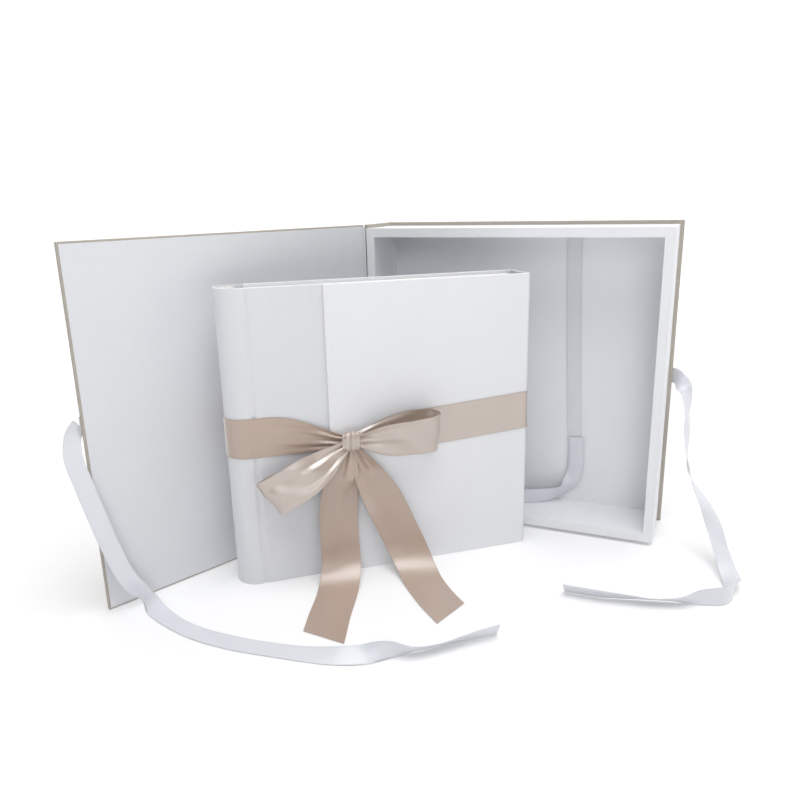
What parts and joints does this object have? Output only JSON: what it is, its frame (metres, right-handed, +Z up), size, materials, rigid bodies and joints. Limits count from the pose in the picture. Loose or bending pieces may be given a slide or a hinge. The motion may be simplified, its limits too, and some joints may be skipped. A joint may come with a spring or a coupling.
{
  "type": "wedding guest book",
  "caption": "Square cloth-bound guest book with a front flap, tied by a satin band and bow, standing before its open hinged case with ribbon ties.",
  "frame": {"origin": "middle of the bottom edge of the case's back board, on the surface the open case and the book stand on", "axes": "+X along the front of the case's tray to the right, +Y to the back, out of the back board's outside face, +Z up"},
  "size_m": [0.5377, 0.3947, 0.331],
  "materials": {
    "white_cloth_board": null,
    "taupe_cloth_board": null,
    "white_cloth": "fine white book cloth, matt",
    "white_lining_cloth": "fine white lining cloth, matt",
    "taupe_cloth": "taupe linen book cloth, matt",
    "lining_paper": "smooth white paper, matt",
    "paper_leaves": "heavy uncoated white paper, matt",
    "spine_lining_cloth": "open-weave mull, matt",
    "headband_silk": "wound thread, satin",
    "white_ribbon": "white satin ribbon",
    "champagne_satin": "champagne satin ribbon, soft sheen"
  },
  "bodies": {
    "case": {"spine_board": "taupe_cloth_board", "back_board": "taupe_cloth_board", "back_joint_cloth": "taupe_cloth", "hinge_cloth": "taupe_cloth", "tray_wall_left": "white_cloth_board", "tray_wall_right": "white_cloth_board", "tray_wall_top": "white_cloth_board", "tray_wall_bottom": "white_cloth_board", "tray_base_board": "white_cloth_board", "tray_base_lining": "white_lining_cloth", "lift_ribbon": "white_ribbon", "tray_tie": "white_ribbon"},
    "lid": {"lid_board": "taupe_cloth_board", "lid_lining": "white_lining_cloth", "hinge_lining": "white_lining_cloth", "lid_tie_anchor": "white_ribbon"},
    "lid_ribbon": {"lid_tie": "white_ribbon"},
    "book": {"rear_cover_board": "white_cloth_board", "rear_pastedown": "lining_paper", "spine_shell": "white_cloth_board", "spine_lining": "spine_lining_cloth", "headband_foot": "headband_silk", "headband_head": "headband_silk", "leaf_gathering_1": "paper_leaves", "leaf_gathering_2": "paper_leaves", "leaf_gathering_3": "paper_leaves", "leaf_gathering_4": "paper_leaves", "leaf_gathering_5": "paper_leaves", "leaf_gathering_6": "paper_leaves", "leaf_gathering_7": "paper_leaves", "leaf_gathering_8": "paper_leaves", "front_endpaper": "lining_paper", "rear_endpaper": "lining_paper", "fore_edge_board": "white_cloth_board", "fore_edge_lining": "lining_paper", "rear_groove_cloth": "white_cloth", "fore_edge_rear_cloth": "white_cloth", "front_groove_cloth": "white_cloth", "flap_joint_cloth": "white_cloth", "band_rear": "champagne_satin", "band_spine": "champagne_satin", "band_fore_edge": "champagne_satin", "band_groove": "champagne_satin"},
    "front_panel": {"front_panel_board": "white_cloth_board", "front_panel_lining": "lining_paper", "band_front_left": "champagne_satin"},
    "flap": {"flap_board": "white_cloth_board", "flap_lining": "lining_paper", "band_gather_left": "champagne_satin", "band_front_right": "champagne_satin", "bow_knot": "champagne_satin", "bow_loop_left": "champagne_satin", "bow_loop_right": "champagne_satin", "bow_tail_left": "champagne_satin", "bow_tail_right": "champagne_satin"}
  },
  "joints": [
    {"name": "lid_hinge", "type": "hinge", "parent": "case", "child": "lid", "pos_m": [-0.16, -0.07065, 0.1655], "axis": [0, 0, 1], "range_deg": [0, 113], "deforming": ["hinge_cloth", "lid_tie"]},
    {"name": "lid_ribbon_turn", "type": "hinge", "parent": "lid", "child": "lid_ribbon", "pos_m": [-0.2917, -0.3689, 0.14], "axis": [0, 0, 1], "range_deg": [-113, 0], "deforming": ["lid_tie"]},
    {"name": "book_slide", "type": "slide", "parent": "case", "child": "book", "axis": [1, 0, 0], "range_m": [0, 0.5325], "deforming": ["tray_tie"]},
    {"name": "flap_hinge", "type": "hinge", "parent": "book", "child": "flap", "pos_m": [0.02968, -0.10322, 0.14], "axis": [0, 0, 1], "range_deg": [0, 110], "deforming": ["bow_tail_left", "bow_tail_right", "flap_joint_cloth"]},
    {"name": "panel_hinge", "type": "hinge", "parent": "book", "child": "front_panel", "pos_m": [-0.18059, -0.27796, 0.14], "axis": [0, 0, -1], "range_deg": [0, 110], "deforming": ["front_groove_cloth", "band_groove"]}
  ],
  "couplings": [
    {"joint": "lid_ribbon_turn", "follows": "lid_hinge", "ratio": -1},
    {"joint": "book_slide", "follows": "lid_hinge", "m_per_rad": 0.27},
    {"joint": "panel_hinge", "follows": "flap_hinge", "ratio": 1}
  ]
}
